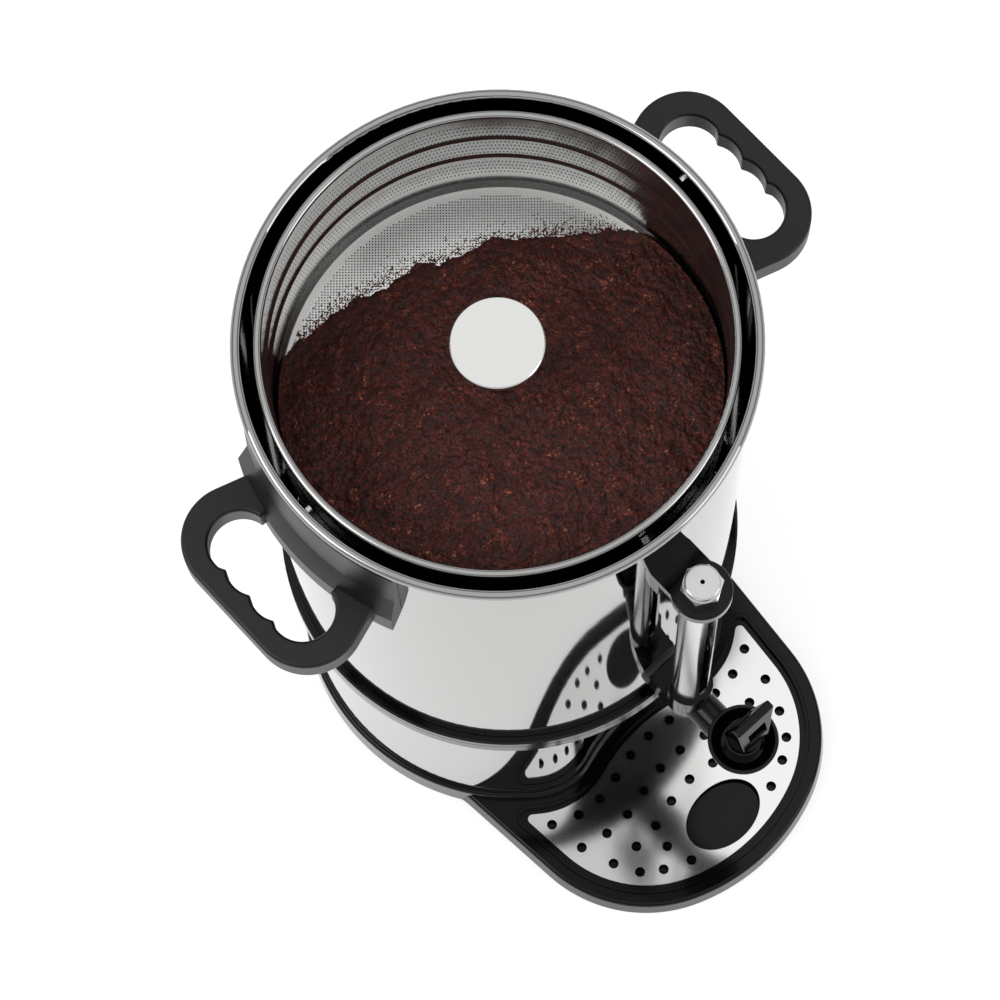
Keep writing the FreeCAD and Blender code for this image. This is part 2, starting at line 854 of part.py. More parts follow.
def handle_brackets():
    top = rim_level - bracket_top_drop
    tab = rim_level - bracket_tab_drop
    brackets = []
    for turn in (0, 180):
        piece = turned([(tank_radius, tab), (tank_radius + bracket_tab_reach, tab),
                        (tank_radius + bracket_tab_reach, tab + bracket_sheet),
                        (tank_radius + bracket_sheet, tab + bracket_sheet),
                        (tank_radius + bracket_sheet, top), (tank_radius, top)],
                       2 * bracket_half_angle, -bracket_half_angle)
        for side in (-1, 1):
            place = polar(tank_radius + handle_screw_reach, side * handle_screw_angle)
            piece = piece.cut(rod(handle_screw_radius, tab - margin, tab + 2 * bracket_sheet, place.x, place.y))
        brackets.append(facing(piece, turn))
    return group(brackets)


def handle_screws():
    bottom = rim_level - pad_bottom_drop
    tab = rim_level - bracket_tab_drop
    screws = []
    for turn in (0, 180):
        for side in (-1, 1):
            place = polar(tank_radius + handle_screw_reach, side * handle_screw_angle + turn)
            head_low = bottom + handle_screw_recess
            head = rod(handle_screw_head, head_low, bottom + handle_screw_sink, place.x, place.y)
            head = head.makeFillet(handle_screw_edge, edges_at(head, head_low))
            shank = rod(handle_screw_radius, bottom + handle_screw_sink, tab + 2 * bracket_sheet, place.x, place.y)
            screws.append(head.fuse(shank).removeSplitter())
    return group(screws)


def outlet_fitting():
    back = -(tank_radius + gasket_thickness)
    low = outlet_level - outlet_bottom
    high = outlet_level + outlet_top
    body = block(-outlet_half_width, outlet_half_width, gauge_y, back, low, high)
    body = joined(body, rod(outlet_half_width, low, high, 0, gauge_y))
    socket = rod(socket_radius, high - 4, outlet_level + socket_top, 0, gauge_y)
    pipe_end = tap_y + inlet_boss_reach
    pipe = rod_along(pipe_radius, vec(0, gauge_y, outlet_level), vec(0, pipe_end, outlet_level))
    spigot = rod_along(spigot_radius, vec(0, gauge_y, outlet_level), vec(0, pipe_end - spigot_length, outlet_level))
    nipple_end = -tank_inside + nut_seat + nut_thickness
    nipple = rod_along(nipple_radius, vec(0, back - margin, outlet_level), vec(0, nipple_end, outlet_level))
    body = joined(body, socket, pipe, spigot, nipple)
    waterway = rod_along(waterway_radius, vec(0, nipple_end + margin, outlet_level),
                         vec(0, pipe_end - spigot_length - margin, outlet_level))
    riser = rod(waterway_radius, outlet_level, high + margin, 0, gauge_y)
    seat = outlet_level + socket_seat
    pocket = rod(glass_radius + 2, seat - seal_pocket, seat + margin, 0, gauge_y)
    guard_seat = rod(guard_radius + guard_fit, seat, outlet_level + socket_top + margin, 0, gauge_y)
    return body.cut(waterway).cut(riser).cut(pocket).cut(guard_seat)


def outlet_gasket():
    disc = rod_along(gasket_radius, vec(0, -(tank_radius + gasket_thickness), outlet_level),
                     vec(0, -tank_radius + 5, outlet_level))
    disc = disc.cut(rod_along(nipple_radius, vec(0, -tank_radius - 2 * nipple_radius, outlet_level),
                              vec(0, -tank_radius + nipple_radius, outlet_level)))
    return disc.cut(wall_curve(0, outlet_level - 2 * gasket_radius, outlet_level + 2 * gasket_radius))


def tank_nut():
    nut = hexagon(nut_across_flats, 0, nut_thickness).cut(rod(nipple_radius, -margin, nut_thickness + margin))
    nut = laid_along_y(nut, -tank_inside + nut_seat + nut_thickness)
    nut.translate(vec(0, 0, outlet_level))
    return nut


def sight_glass():
    low = outlet_level + socket_seat - seal_pocket + 2
    high = bracket_top_level + gauge_nut_height / 2
    return tube(glass_radius, glass_radius - glass_wall, low, high, 0, gauge_y)


def guard_tube():
    low = outlet_level + socket_seat
    high = bracket_bottom_level
    body = tube(guard_radius, guard_radius - guard_wall, low, high, 0, gauge_y)
    slot_low = outlet_level + socket_top + guard_slot_margin + guard_slot / 2
    slot_high = high - gauge_collar - guard_slot_margin - guard_slot / 2
    for side in (-1, 1):
        far = gauge_y + side * 2 * guard_radius
        slot = block(-guard_slot / 2, guard_slot / 2, min(gauge_y, far), max(gauge_y, far), slot_low, slot_high)
        ends = [rod_along(guard_slot / 2, vec(0, gauge_y, level), vec(0, far, level))
                for level in (slot_low, slot_high)]
        body = body.cut(joined(slot, *ends))
    return body


def gauge_seals():
    low = outlet_level + socket_seat - seal_pocket
    lower = tube(glass_radius + 2, waterway_radius, low, low + 2, 0, gauge_y)
    sleeve = tube(glass_radius + 2, glass_radius, low + 2, low + seal_pocket, 0, gauge_y)
    upper = tube(glass_radius + 2, glass_radius, bracket_top_level - 3, bracket_top_level, 0, gauge_y)
    return group([joined(lower, sleeve), upper])


def gauge_bracket():
    back = -tank_radius + 5
    plate = block(-gauge_bracket_half_width, gauge_bracket_half_width, gauge_y, back,
                  bracket_bottom_level, bracket_top_level)
    plate = joined(plate, rod(gauge_bracket_radius, bracket_bottom_level, bracket_top_level, 0, gauge_y))
    plate = plate.makeFillet(1.2, [e for e in edges_at(plate, bracket_top_level) if e.BoundBox.YMax < back - 1])
    foot = block(-gauge_bracket_half_width, gauge_bracket_half_width, -tank_radius - gauge_foot, back,
                 bracket_top_level - gauge_foot_height, bracket_top_level - 2)
    collar = rod(socket_radius, bracket_bottom_level - gauge_collar, bracket_bottom_level + 1, 0, gauge_y)
    body = joined(plate, foot, collar)
    body = body.cut(wall_curve(0, 0, rim_level))
    body = body.cut(rod(glass_radius + glass_gap, 0, rim_level, 0, gauge_y))
    body = body.cut(rod(guard_radius + guard_fit, 0, bracket_bottom_level, 0, gauge_y))
    body = body.cut(rod(glass_radius + 2, bracket_top_level - 3, rim_level, 0, gauge_y))
    level = bracket_top_level - bracket_screw_drop
    return body.cut(rod_along(bracket_screw_radius, vec(0, -tank_radius - 10, level), vec(0, 0, level)))


def bracket_screw():
    level = bracket_top_level - bracket_screw_drop
    face = -tank_radius - gauge_foot
    head = rod_along(bracket_screw_head, vec(0, face, level), vec(0, face - bracket_screw_head_height, level))
    head = head.makeFillet(1.0, [e for e in head.Edges if e.BoundBox.YMax < face - 1])
    inner_nut = -tank_inside + nut_height + 0.2
    shank = rod_along(bracket_screw_radius, vec(0, face, level), vec(0, inner_nut, level))
    screw = head.fuse(shank).removeSplitter()
    nut = hexagon(nut_flats, 0, nut_height).cut(rod(bracket_screw_radius, -margin, nut_height + margin))
    nut = laid_along_y(nut, inner_nut)
    nut.translate(vec(0, 0, level))
    return group([screw, nut])


def gauge_nut():
    low = bracket_top_level
    nut = hexagon(gauge_nut_flats, low, low + gauge_nut_height, 0, gauge_y)
    corner = gauge_nut_flats / math.sqrt(3)
    cone = turned([(0, low), (corner, low), (corner, low + gauge_nut_height - 1.2),
                   (gauge_nut_flats / 2, low + gauge_nut_height), (0, low + gauge_nut_height)], 360, 0, 0, gauge_y)
    nut = nut.common(cone)
    return nut.cut(rod(glass_radius + glass_gap, low - margin, low + gauge_nut_height + margin, 0, gauge_y))


def gauge_cap():
    low = bracket_top_level + gauge_nut_height
    high = low + gauge_cap_height
    cap = rod(gauge_cap_radius, low, high, 0, gauge_y)
    cap = cap.makeFillet(1.0, edges_at(cap, high))
    cap = cap.cut(rod(glass_radius + glass_gap, low - margin, high - 2.5, 0, gauge_y))
    return cap.cut(rod(gauge_vent_radius, low, high + margin, 0, gauge_y))


def tap_body():
    low = outlet_level - tap_bottom
    high = outlet_level + tap_top
    neck = high - bonnet_skirt
    shoulder = tap_radius - 1.5
    shell = turned([(0, spout_bottom), (spout_radius - 1, spout_bottom), (spout_radius, spout_bottom + 1),
                    (spout_radius, low - 2), (tap_radius, low + 2), (tap_radius, neck), (shoulder, neck),
                    (shoulder, high), (0, high)], 360, 0, 0, tap_y)
    boss = rod_along(inlet_boss_radius, vec(0, tap_y, outlet_level), vec(0, tap_y + inlet_boss_reach, outlet_level))
    boss = boss.cut(rod(shoulder, neck, high + margin, 0, tap_y))
    boss = boss.cut(tube(2 * tap_radius, shoulder, neck, high + margin, 0, tap_y))
    body = joined(shell, boss)
    body = body.cut(rod(plug_radius + plug_play, low, high + margin, 0, tap_y))
    body = body.cut(rod(spout_bore, spout_bottom - margin, low + margin, 0, tap_y))
    body = body.cut(rod_along(plug_port, vec(0, tap_y, outlet_level), vec(0, tap_y + 2 * tap_radius, outlet_level)))
    return body.cut(rod_along(spigot_radius, vec(0, tap_y + inlet_boss_reach - spigot_length, outlet_level),
                              vec(0, tap_y + inlet_boss_reach + margin, outlet_level)))


def tap_bonnet():
    high = outlet_level + tap_top
    neck = high - bonnet_skirt
    shoulder = tap_radius - 1.5
    rim = bonnet_rim_level
    outline = [(shoulder, neck), (shoulder + bonnet_wall, neck), (shoulder + bonnet_wall, high - 1),
               (bonnet_radius, rim - bonnet_lip), (bonnet_radius, rim - 0.6), (bonnet_radius - 0.6, rim),
               (bonnet_radius - bonnet_lip, rim), (bonnet_hub_radius + 2, high + bonnet_wall + 2),
               (bonnet_hub_radius, high + bonnet_wall + 2), (bonnet_hub_radius, hub_level - 0.8),
               (bonnet_hub_radius - 0.8, hub_level), (stem_radius + plug_play, hub_level),
               (stem_radius + plug_play, high + stem_seal_height), (stem_seal_radius, high + stem_seal_height),
               (stem_seal_radius, high), (shoulder, high)]
    return turned(outline, 360, 0, 0, tap_y)


def tap_stem_seal():
    high = outlet_level + tap_top
    return tube(stem_seal_radius, stem_radius + plug_play, high + plug_lift, high + stem_seal_height, 0, tap_y)


def tap_plug():
    low = outlet_level - tap_bottom + plug_lift
    high = outlet_level + tap_top - plug_lift
    stem = rod(stem_radius, high, lever_bottom + lever_hub_height, 0, tap_y)
    body = joined(rod(plug_radius, low, high, 0, tap_y), stem)
    body = body.cut(rod(plug_bore, low - margin, outlet_level + plug_bore, 0, tap_y))
    return body.cut(rod_along(plug_port, vec(0, tap_y, outlet_level), vec(-2 * plug_radius, tap_y, outlet_level)))


def tap_handle():
    # hub with a wedge-shaped fin that points along +X when the tap is shut
    hub_top = lever_bottom + lever_hub_height
    hub = rod(lever_hub_radius, lever_bottom, hub_top + margin, 0, tap_y)

    def level_outline(front, back, half, z):
        return Part.makePolygon([vec(-back, tap_y - half, z), vec(front, tap_y - half, z),
                                 vec(front, tap_y + half, z), vec(-back, tap_y + half, z),
                                 vec(-back, tap_y - half, z)])

    fin = Part.makeLoft([level_outline(lever_root_front, lever_back, lever_root / 2, hub_top),
                         level_outline(lever_front, lever_back, lever_ridge / 2, lever_top)], True, True)
    fin = fin.makeFillet(lever_edge, [e for e in fin.Edges if e.BoundBox.ZMax > hub_top + 1])
    for side in (-1, 1):
        inner = tap_y + side * 0.5 * lever_ridge
        outer = tap_y + side * lever_root
        slot = block(-2, lever_root_front - 1, min(inner, outer), max(inner, outer),
                     lever_bottom + 12, lever_bottom + 24)
        fin = fin.cut(slot)
    whole = joined(hub, fin)
    return whole.cut(rod(stem_radius, lever_bottom - margin, hub_top, 0, tap_y))


def hole_row_y(x, offset):
    # y of a line that follows the plate's hollow back edge at a distance
    recess_centre_y = -(tank_radius - recess_depth + recess_radius)
    hollow = recess_radius - offset
    near = tank_radius - recess_corner
    far = recess_radius + recess_corner
    apart = abs(recess_centre_y)
    corner_y = (far * far - near * near - apart * apart) / (2 * apart)
    corner_x = math.sqrt(near * near - corner_y * corner_y)
    if x < corner_x * hollow / far:
        return recess_centre_y + math.sqrt(hollow * hollow - x * x)
    bend = recess_corner + offset
    return corner_y - math.sqrt(bend * bend - (x - corner_x) ** 2)


def drain_holes():
    # rows of (distance from the housing, first x, holes on a side, pitch)
    rows = ((20.2, 0.0, 6, 16.9), (40.0, 8.6, 5, 18.0), (58.5, 0.0, 5, 18.2), (72.5, 40.2, 2, 24.0))
    places = []
    for offset, first, count, pitch in rows:
        for k in range(count):
            x = first + k * pitch
            y = hole_row_y(x, offset)
            places += [(x, y)] if x == 0 else [(x, y), (-x, y)]
    front_centre = vec(0, tray_front_y + tray_front_radius)
    for x in drain_front_x:
        y = front_centre.y - math.sqrt((tray_front_radius - drain_front_inset) ** 2 - x * x)
        places += [(x, y), (-x, y)]
    return places


def drip_plate():
    low = plate_level - plate_sheet
    plate = tray_prism(plate_inset, plate_setback, plate_tip, low, plate_level)
    holes = [rod(drain_hole_radius, low - margin, plate_level + margin, x, y) for x, y in drain_holes()]
    oval = Part.Ellipse(vec(0, tap_y + drain_oval_ahead, low - margin), drain_oval_x, drain_oval_y).toShape()
    holes.append(Part.Face(Part.Wire([oval])).extrude(vec(0, 0, plate_sheet + 2 * margin)))
    return plate.cut(Part.makeCompound(holes))


def drip_pan():
    shelf = plate_level - plate_sheet - pan_sag
    low = well_floor + pan_sag
    brim = tray_top + pan_lip
    outer = tray_prism(well_inset + pan_gap, well_setback + pan_gap, well_tip - pan_gap, shelf - pan_floor, brim)
    inner = tray_prism(well_inset + pan_gap + pan_wall, well_setback + pan_gap + pan_wall,
                       well_tip - pan_gap - pan_wall, shelf, brim + margin)
    step = well_inset + pan_gap + pan_step
    step_back = well_setback + pan_gap + pan_step
    sump = tray_prism(step, step_back, plate_tip + pan_wall, low, shelf)
    hollow = tray_prism(step + pan_wall, step_back + pan_wall, plate_tip, low + pan_floor, shelf + margin)
    return joined(outer, sump).cut(inner).cut(hollow)


def basket_wall():
    inside = basket_radius - basket_sheet
    low = basket_bottom
    points = [(basket_radius, rim_level)]
    for drop in bead_drops:
        level = rim_level - drop
        points += [(basket_radius, level + bead_height), (basket_radius - bead_depth, level),
                   (basket_radius, level - bead_height)]
    points += [(basket_radius, low + basket_corner), (basket_radius - basket_corner, low),
               (basket_radius - basket_ledge, low), (basket_radius - basket_ledge, low + basket_sheet),
               (inside - basket_corner, low + basket_sheet), (inside, low + basket_sheet + basket_corner)]
    for drop in reversed(bead_drops):
        level = rim_level - drop
        points += [(inside, level - bead_height), (inside - bead_depth, level), (inside, level + bead_height)]
    points += [(inside, rim_level)]
    corners = [vec(radius, 0, z) for radius, z in points]
    edges = [line(a, b) for a, b in zip(corners, corners[1:])]
    edges += curl_edges(inside, inside + basket_curl_radius, rim_level, basket_curl_radius,
                        basket_curl_sweep, basket_sheet)
    return turned_edges(Part.__sortEdges__(edges))


def basket_bottom_disc():
    low = basket_bottom + basket_sheet
    outer = basket_radius - basket_sheet - basket_corner - strainer_gap
    return tube(outer, centre_tube_radius - centre_tube_wall, low, low + basket_sheet)


def basket_centre_tube():
    low = basket_bottom + 2 * basket_sheet
    high = rim_level - centre_tube_drop
    body = tube(centre_tube_radius, centre_tube_radius - centre_tube_wall, low, high)
    flange = tube(centre_tube_radius + centre_flange, centre_tube_radius - centre_tube_wall, low,
                  low + centre_flange_sheet)
    return joined(body, flange)


def coffee_grounds():
    low = basket_bottom + 2 * basket_sheet
    outer = basket_radius - basket_sheet - bead_depth - heap_gap
    body = turned([(0, low), (outer - basket_corner, low), (outer, low + basket_corner), (outer, rim_level),
                   (0, rim_level)])
    ball_radius = (heap_edge_radius ** 2 + heap_height ** 2) / (2 * heap_height)
    centre = polar(heap_edge_reach - heap_edge_radius, heap_direction, low + heap_height - ball_radius)
    ball = Part.makeSphere(ball_radius, centre)
    body = body.common(ball)
    body = body.cut(rod(centre_tube_radius, low - margin, rim_level))
    return body.cut(rod(centre_tube_radius + centre_flange, low - margin, low + centre_flange_sheet))


def spreader_cap():
    top = rim_level - spreader_drop
    under = top - spreader_sheet
    spigot = centre_tube_radius - centre_tube_wall - spigot_gap
    seat = rim_level - centre_tube_drop + spreader_seat
    bore = spigot - spreader_spigot_wall
    shoulder = spigot + spreader_shoulder
    skirt = spreader_radius - spreader_sheet
    outline = [(0, under), (bore, under), (bore, seat - spreader_spigot), (spigot, seat - spreader_spigot),
               (spigot, seat), (shoulder, seat), (shoulder, under), (skirt, under), (skirt, under - spreader_skirt),
               (spreader_radius, under - spreader_skirt), (spreader_radius, top - spreader_edge),
               (spreader_radius - spreader_edge, top), (0, top)]
    return turned(outline)


def riser_tube():
    low = valve_floor + valve_seat + valve_gap + valve_disc + valve_lift + riser_end_gap
    return tube(riser_radius, riser_radius - riser_wall, low, rim_level - riser_top_drop)


def riser_foot():
    low = floor_level - well_depth + bell_gap
    top = low + bell_height
    neck_top = top + neck_rise
    neck = valve_chamber + neck_wall
    rim = bell_radius + bell_flare
    seat = top - neck_wall
    outline = [(rim, low), (rim, low + bell_wall), (bell_radius, low + bell_rim), (neck, top), (neck, neck_top),
               (riser_radius, neck_top), (riser_radius, neck_top - neck_wall), (valve_chamber, neck_top - neck_wall),
               (valve_chamber, seat + valve_seat), (valve_seat_hole, seat + valve_seat),
               (valve_seat_hole, seat - bell_wall), (bell_radius - bell_wall, low + bell_rim - bell_wall),
               (rim - bell_wall, low)]
    body = turned(outline)
    for k in range(4):
        notch = block(bell_radius - bell_notch, 2 * rim, -bell_notch / 2, bell_notch / 2,
                      low - margin, low + bell_notch_height)
        body = body.cut(facing(notch, 90 * k + 45))
    return body


def riser_collar():
    high = basket_bottom + basket_sheet - collar_gap
    low = high - collar_height
    lip = high - collar_lip
    return turned([(riser_radius, low), (riser_radius + collar_wall, low), (collar_radius - collar_lip, lip),
                   (collar_radius, lip), (collar_radius, high), (riser_radius, high)])


def pump_valve_disc():
    low = valve_floor + valve_seat + valve_gap
    return rod(valve_disc_radius, low, low + valve_disc)


def heater_plate():
    high = floor_level - sheet - well_depth
    return rod(heater_radius, high - heater_thickness, high)


def heater_element():
    level = floor_level - sheet - well_depth - heater_thickness - element_radius - element_gap
    return heating_ring(heater_groove_radius, element_radius, level)


def keep_warm_element():
    level = floor_level - sheet - warmer_tube - element_gap
    return heating_ring(warmer_radius, warmer_tube, level)


def heating_ring(ring_radius, tube_radius, level):
    # tube bent to an open ring whose two ends turn down to their terminals
    full_turn = 360
    gap = element_opening / 2
    ring = Part.makeTorus(ring_radius, tube_radius, vec(0, 0, level), up, -180, 180, full_turn - element_opening)
    ring.rotate(axis_origin, up, 90 + gap)
    pieces = [ring]
    leg_end = level - element_leg
    for side in (-1, 1):
        place = polar(ring_radius, 90 + side * gap)
        pieces.append(rod(tube_radius, leg_end, level, place.x, place.y))
        pieces.append(Part.makeSphere(tube_radius, vec(place.x, place.y, level)))
        pieces.append(rod(tube_radius / 2, leg_end - element_pin, leg_end + margin, place.x, place.y))
    return joined(*pieces)


def sensor(degrees):
    # small round switch pressed against the tank's floor, with two blade terminals
    high = floor_level - sheet
    place = polar(sensor_circle, degrees)
    can_low = high - sensor_height
    can = rod(sensor_radius, can_low, high, place.x, place.y)
    rim = rod(sensor_radius + sensor_rim, high - sensor_rim_sheet, high, place.x, place.y)
    blades = []
    for side in (-1, 1):
        middle = place.x + side * sensor_tab_pitch / 2
        blades.append(block(middle - sensor_tab_width / 2, middle + sensor_tab_width / 2,
                            place.y - sensor_tab / 2, place.y + sensor_tab / 2, can_low - sensor_tab_length, can_low))
    return joined(can, rim, *blades)


def thermostat():
    return sensor(thermostat_angle)


def boil_dry_cutout():
    return sensor(cutout_angle)


def housing_studs():
    studs = []
    for degrees in stud_angles:
        place = polar(stud_circle, degrees)
        studs.append(rod(stud_radius, flange_bottom - nut_height, floor_level - sheet, place.x, place.y))
    return group(studs)


def stud_nuts():
    nuts = []
    for degrees in stud_angles:
        place = polar(stud_circle, degrees)
        nut = hexagon(nut_flats, flange_bottom - nut_height, flange_bottom, place.x, place.y)
        nuts.append(nut.cut(rod(stud_radius, 0, flange_top, place.x, place.y)))
    return group(nuts)


def terminal_block():
    low = flange_bottom
    body = block(-terminal_length / 2, terminal_length / 2, terminal_y - terminal_width / 2,
                 terminal_y + terminal_width / 2, low, low + terminal_height)
    high = low + terminal_height
    for k in range(terminal_poles):
        x = (k - (terminal_poles - 1) / 2) * terminal_length / terminal_poles
        for side in (-1, 1):
            y = terminal_y + side * terminal_width / 4
            body = body.cut(rod(terminal_hole, high - terminal_hole_depth, high + margin, x, y))
    return body


def mains_inlet():
    face_y = tank_radius + inlet_face
    flange = block(-inlet_width / 2, inlet_width / 2, tank_radius - 8, face_y,
                   inlet_level - inlet_height / 2, inlet_level + inlet_height / 2)
    upright = [e for e in flange.Edges if e.BoundBox.YLength > 5]
    flange = flange.makeFillet(5.0, upright).cut(wall_curve(0, 0, band_bottom))
    body = block(-inlet_body_width / 2, inlet_body_width / 2, face_y - inlet_body_depth, face_y - 0.5,
                 inlet_level - inlet_body_height / 2, inlet_level + inlet_body_height / 2)
    hole = block(-inlet_hole_width / 2, inlet_hole_width / 2, face_y - inlet_hole_depth, face_y + margin,
                 inlet_level - inlet_hole_height / 2, inlet_level + inlet_hole_height / 2)
    slanted = [e for e in hole.Edges if e.BoundBox.YLength > 5 and e.CenterOfMass.z > inlet_level]
    hole = hole.makeChamfer(4.0, slanted)
    return joined(flange, body).cut(hole)


def inlet_pins():
    floor_y = tank_radius + inlet_face - inlet_hole_depth
    pins = []
    for k, rise in ((-1, -2.0), (0, 2.0), (1, -2.0)):
        x = k * inlet_pin_pitch
        level = inlet_level + rise
        pins.append(block(x - 1, x + 1, floor_y, floor_y + inlet_pin_length, level - 2, level + 2))
    return group(pins)


def rocker_frame():
    face_x = tank_radius + rocker_frame_face
    flange = block(tank_radius - 5, face_x, -rocker_frame_width / 2, rocker_frame_width / 2,
                   rocker_level - rocker_frame_height / 2, rocker_level + rocker_frame_height / 2)
    flange = flange.makeFillet(2.0, [e for e in flange.Edges if e.BoundBox.XLength > 5])
    flange = flange.cut(wall_curve(0, 0, band_bottom))
    body = block(face_x - rocker_body_depth, face_x - 0.5, -rocker_body_width / 2, rocker_body_width / 2,
                 rocker_level - rocker_body_height / 2, rocker_level + rocker_body_height / 2)
    opening = block(face_x - rocker_opening_depth, face_x + margin, -rocker_opening_width / 2,
                    rocker_opening_width / 2, rocker_level - rocker_opening_height / 2,
                    rocker_level + rocker_opening_height / 2)
    pin_reach = rocker_opening_width / 2 + rocker_pin_end + rocker_gap
    pin_x = face_x - rocker_axis_depth
    bearing = rod_along(rocker_pin_radius + rocker_pin_gap, vec(pin_x, -pin_reach, rocker_level),
                        vec(pin_x, pin_reach, rocker_level))
    return facing(joined(flange, body).cut(opening).cut(bearing), control_angle)


def rocker():
    # dished key on a cross pin, lower end pressed in
    pin_x = tank_radius + rocker_frame_face - rocker_axis_depth
    half = rocker_length / 2
    front = rocker_axis_depth + rocker_proud
    profile = [vec(pin_x - 2.5, 0, -4), vec(pin_x - 0.5, 0, -half + 0.8), vec(pin_x + front - 1.8, 0, -half),
               vec(pin_x + front - 2.6, 0, 0), vec(pin_x + front - 1.8, 0, half), vec(pin_x - 0.5, 0, half - 0.8),
               vec(pin_x - 2.5, 0, 4)]
    wire = Part.makePolygon(profile + profile[:1])
    width = rocker_opening_width - 2 * rocker_gap
    key = Part.Face(wire).extrude(vec(0, width, 0))
    key.translate(vec(0, -width / 2, rocker_level))
    reach = rocker_opening_width / 2 + rocker_pin_end
    pin = rod_along(rocker_pin_radius, vec(pin_x, -reach, rocker_level), vec(pin_x, reach, rocker_level))
    whole = joined(key, pin)
    whole.rotate(vec(pin_x, 0, rocker_level), vec(0, 1, 0), rocker_tilt)
    return facing(whole, control_angle)


def indicator_lamps():
    lamps = []
    for level in lamp_levels:
        flange = rod_along(lamp_flange, vec(tank_radius - 5, 0, level), vec(tank_radius + lamp_flange_face, 0, level))
        flange = flange.cut(wall_curve(0, 0, band_bottom))
        body = rod_along(lamp_radius, vec(tank_radius - lamp_depth, 0, level), vec(tank_radius + 1, 0, level))
        ball = Part.makeSphere(lamp_flange + 1, vec(tank_radius + lamp_flange_face - 5.2, 0, level))
        dome = ball.common(rod_along(lamp_radius, vec(tank_radius, 0, level), vec(tank_radius + 10, 0, level)))
        lamps.append(facing(joined(flange, body, dome), control_angle))
    return group(lamps)


pieces = {
    "base_moulding": base_moulding,
    "tray_moulding": tray_moulding,
    "tray_floor": tray_floor,
    "rubber_feet": rubber_feet,
    "bottom_cover": bottom_cover,
    "bottom_screws": bottom_screws,
    "housing_skirt": housing_skirt,
    "support_band": support_band,
    "tank": tank,
    "tank_floor": tank_floor,
    "well_plate": well_plate,
    "lid_lock_pins": lid_lock_pins,
    "handle_right": handle,
    "handle_left": lambda: facing(handle(), 180),
    "handle_brackets": handle_brackets,
    "handle_screws": handle_screws,
    "outlet_fitting": outlet_fitting,
    "outlet_gasket": outlet_gasket,
    "tank_nut": tank_nut,
    "sight_glass": sight_glass,
    "guard_tube": guard_tube,
    "gauge_seals": gauge_seals,
    "gauge_bracket": gauge_bracket,
    "bracket_screw": bracket_screw,
    "gauge_nut": gauge_nut,
    "gauge_cap": gauge_cap,
    "tap_body": tap_body,
    "tap_bonnet": tap_bonnet,
    "tap_stem_seal": tap_stem_seal,
    "tap_plug": tap_plug,
    "tap_handle": tap_handle,
    "drip_pan": drip_pan,
    "drip_plate": drip_plate,
    "basket_wall": basket_wall,
    "basket_bottom": basket_bottom_disc,
    "basket_centre_tube": basket_centre_tube,
    "coffee_grounds": coffee_grounds,
    "spreader_cap": spreader_cap,
    "riser_tube": riser_tube,
    "riser_foot": riser_foot,
    "riser_collar": riser_collar,
    "pump_valve_disc": pump_valve_disc,
    "heater_plate": heater_plate,
    "heater_element": heater_element,
    "keep_warm_element": keep_warm_element,
    "thermostat": thermostat,
    "boil_dry_cutout": boil_dry_cutout,
    "housing_studs": housing_studs,
    "stud_nuts": stud_nuts,
    "terminal_block": terminal_block,
    "mains_inlet": mains_inlet,
    "inlet_pins": inlet_pins,
    "rocker_frame": rocker_frame,
    "rocker": rocker,
    "indicator_lamps": indicator_lamps,
}

os.makedirs("parts", exist_ok=True)
for name, make in pieces.items():
    shape = make()
    shape.exportStep("parts/" + name + ".step")
    print(name, "solids", len(shape.Solids), "volume", round(shape.Volume), "valid", shape.isValid())
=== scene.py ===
import math
import random

import bpy
from mathutils import Matrix, Vector, noise


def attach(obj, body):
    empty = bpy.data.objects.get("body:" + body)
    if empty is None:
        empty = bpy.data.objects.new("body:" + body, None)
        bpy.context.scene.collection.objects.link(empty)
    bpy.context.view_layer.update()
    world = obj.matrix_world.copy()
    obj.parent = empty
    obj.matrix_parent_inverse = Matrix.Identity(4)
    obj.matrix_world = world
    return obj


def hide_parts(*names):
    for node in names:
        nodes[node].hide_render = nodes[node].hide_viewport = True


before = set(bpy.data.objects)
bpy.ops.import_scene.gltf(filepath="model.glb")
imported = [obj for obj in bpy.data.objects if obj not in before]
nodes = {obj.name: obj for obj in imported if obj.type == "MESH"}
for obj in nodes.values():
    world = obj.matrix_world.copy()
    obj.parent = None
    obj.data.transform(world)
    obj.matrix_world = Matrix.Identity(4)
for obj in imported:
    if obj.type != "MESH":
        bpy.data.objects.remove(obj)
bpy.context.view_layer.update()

scene = bpy.context.scene
print("frame loaded:", len(nodes), "nodes")


# Small helpers

def colour(text):
    # sRGB hex to the linear colour that a socket takes
    values = [int(text[place:place + 2], 16) / 255 for place in (1, 3, 5)]
    linear = [v / 12.92 if v <= 0.04045 else ((v + 0.055) / 1.055) ** 2.4 for v in values]
    return (*linear, 1.0)


def addNode(tree, kind, inputs=None, **settings):
    node = tree.nodes.new("ShaderNode" + kind)
    for name, value in settings.items():
        setattr(node, name, value)
    for socket, value in (inputs or {}).items():
        if isinstance(value, bpy.types.NodeSocket):
            tree.links.new(value, node.inputs[socket])
        else:
            node.inputs[socket].default_value = value
    return node


def newMaterial(name):
    material = bpy.data.materials.new(name)
    material.use_nodes = True
    material.node_tree.nodes.clear()
    return material, material.node_tree


def perMetre(millimetres):
    # texture scale whose features are this wide
    return 1000.0 / millimetres


def finishMaterial(tree, inputs):
    shader = addNode(tree, "BsdfPrincipled", inputs)
    addNode(tree, "OutputMaterial", {"Surface": shader.outputs[0]})


